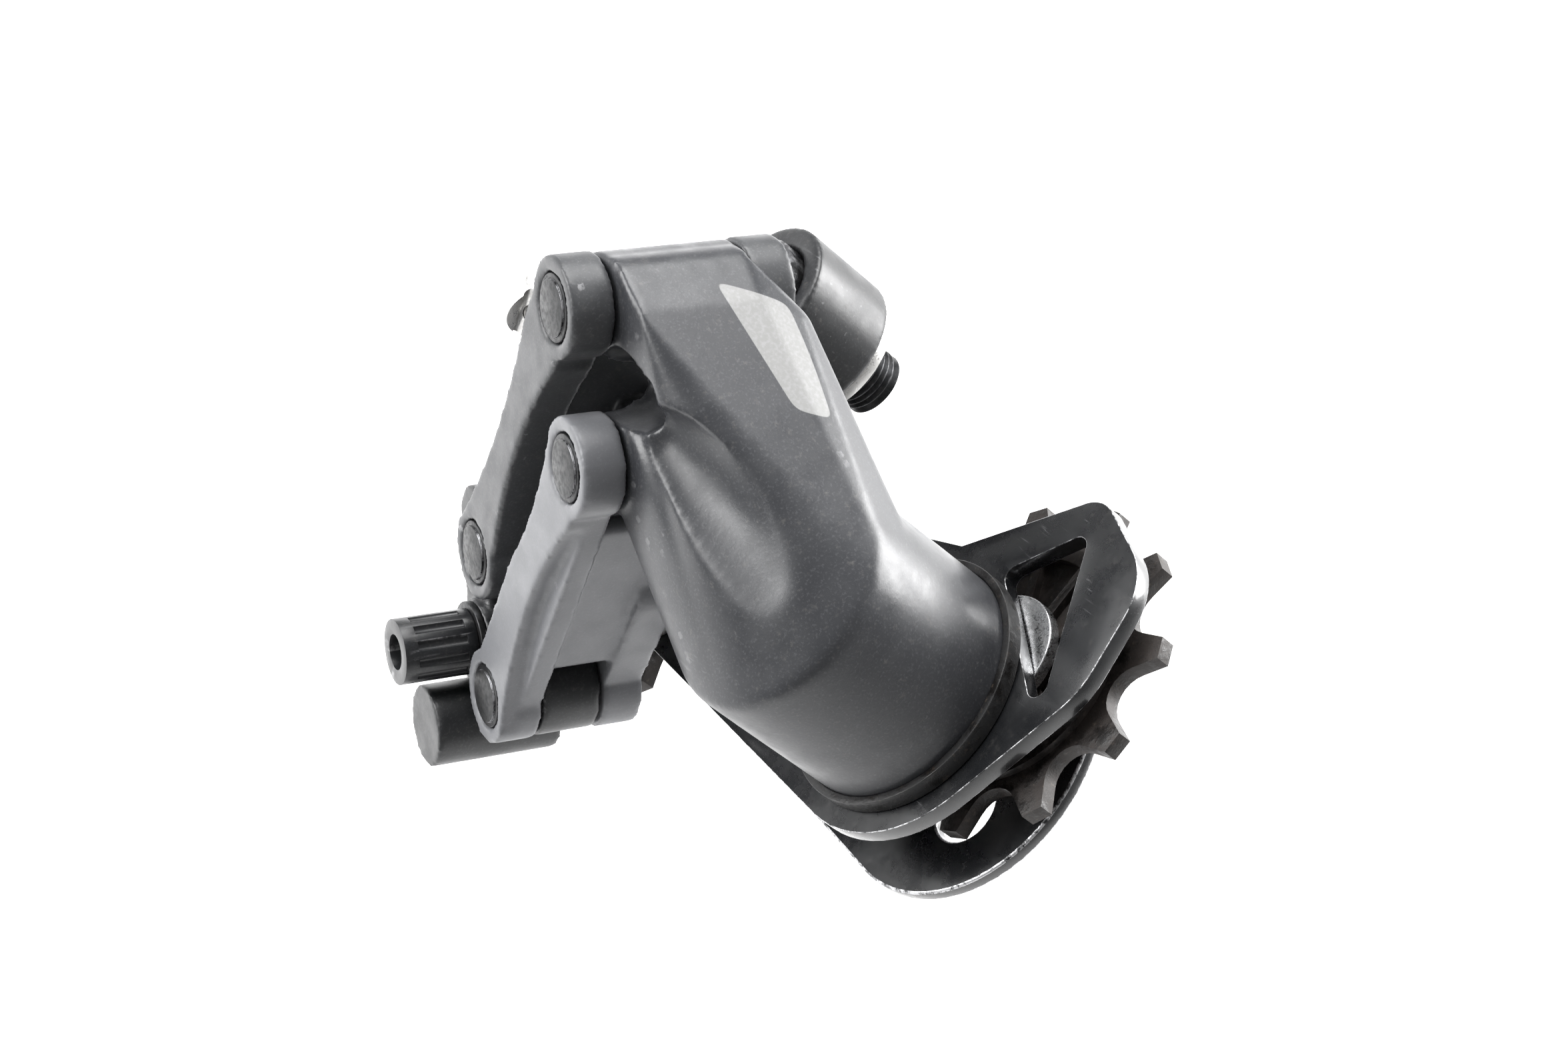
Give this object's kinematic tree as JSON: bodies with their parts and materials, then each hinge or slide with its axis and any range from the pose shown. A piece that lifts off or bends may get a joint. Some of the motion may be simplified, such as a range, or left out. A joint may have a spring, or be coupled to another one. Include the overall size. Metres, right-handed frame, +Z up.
{
  "type": "rear bicycle derailleur",
  "caption": "Rear bicycle derailleur with a slanted parallelogram, a long sprung cage and toothed guide and tension pulleys.",
  "frame": {"origin": "centre of the face that seats on the frame's hanger, on the hanger bolt's axis", "axes": "+X forward, +Y inboard along the hanger bolt towards the wheel, +Z up, as fitted on the bicycle"},
  "size_m": [0.1324, 0.0839, 0.0947],
  "materials": {
    "black_steel": "satin",
    "steel": "satin",
    "black_alloy": "satin",
    "dark_alloy": "satin",
    "grey_alloy": "satin",
    "black_gloss": "gloss",
    "black_resin": "matte",
    "brown_resin": "matte"
  },
  "bodies": {
    "hanger": {"hanger_bolt": "black_steel", "hanger_washer": "steel"},
    "upper_knuckle": {"upper_knuckle": "black_alloy", "seat_screw": "steel", "limit_screws": "steel", "adjuster_ring": "black_steel", "upper_pins": "black_steel", "link_spring": "steel"},
    "adjuster": {"adjuster": "black_alloy"},
    "outer_link": {"outer_link": "dark_alloy", "cable_bolt": "steel", "cable_clamp": "steel"},
    "inner_link": {"inner_link": "grey_alloy"},
    "lower_knuckle": {"lower_knuckle": "dark_alloy", "lower_pins": "black_steel", "housing_seal": "black_resin", "cage_spring": "steel"},
    "cage": {"cage_axle": "steel", "outer_plate": "black_gloss", "stop_pin": "steel", "inner_plate": "black_gloss", "guide_bush": "steel", "guide_bolt": "black_steel", "tension_bush": "steel", "tension_bolt": "black_steel"},
    "guide_pulley": {"guide_pulley": "brown_resin", "guide_caps": "steel"},
    "tension_pulley": {"tension_pulley": "brown_resin", "tension_caps": "steel"}
  },
  "joints": [
    {"name": "hanger_pivot", "type": "hinge", "parent": "hanger", "child": "upper_knuckle", "pos_m": [0, 0, 0], "axis": [0, -1, 0], "range_deg": [0, 25], "stiffness_Nm_per_rad": 0.6, "springref_deg": -20.05},
    {"name": "outer_link_pivot", "type": "hinge", "parent": "upper_knuckle", "child": "outer_link", "pos_m": [-0.001, -0.02733, -0.05361], "axis": [0, 0.766, 0.6428], "range_deg": [0, 76], "stiffness_Nm_per_rad": 0.5, "springref_deg": -28.65},
    {"name": "inner_link_pivot", "type": "hinge", "parent": "upper_knuckle", "child": "inner_link", "pos_m": [0.00419, -0.01452, -0.06888], "axis": [0, 0.766, 0.6428], "range_deg": [0, 76]},
    {"name": "lower_knuckle_pivot", "type": "hinge", "parent": "outer_link", "child": "lower_knuckle", "pos_m": [0.02578, -0.05598, -0.01947], "axis": [0, 0.766, 0.6428], "range_deg": [-76, 0]},
    {"name": "cage_pivot", "type": "hinge", "parent": "lower_knuckle", "child": "cage", "pos_m": [0.052, 0.007, -0.03], "axis": [0, -1, 0], "range_deg": [0, 110], "stiffness_Nm_per_rad": 0.35, "springref_deg": -45.84},
    {"name": "guide_spin", "type": "hinge", "parent": "cage", "child": "guide_pulley", "pos_m": [0.058, 0.0143, -0.0192], "axis": [0, 1, 0], "continuous": true},
    {"name": "tension_spin", "type": "hinge", "parent": "cage", "child": "tension_pulley", "pos_m": [-0.02593, 0.0143, -0.04013], "axis": [0, 1, 0], "continuous": true},
    {"name": "adjuster_turn", "type": "hinge", "parent": "upper_knuckle", "child": "adjuster", "pos_m": [-0.00901, -0.01606, -0.06704], "axis": [0, 0.766, 0.6428], "continuous": true}
  ],
  "couplings": [
    {"joint": "inner_link_pivot", "follows": "outer_link_pivot", "ratio": 1},
    {"joint": "lower_knuckle_pivot", "follows": "outer_link_pivot", "ratio": -1}
  ]
}
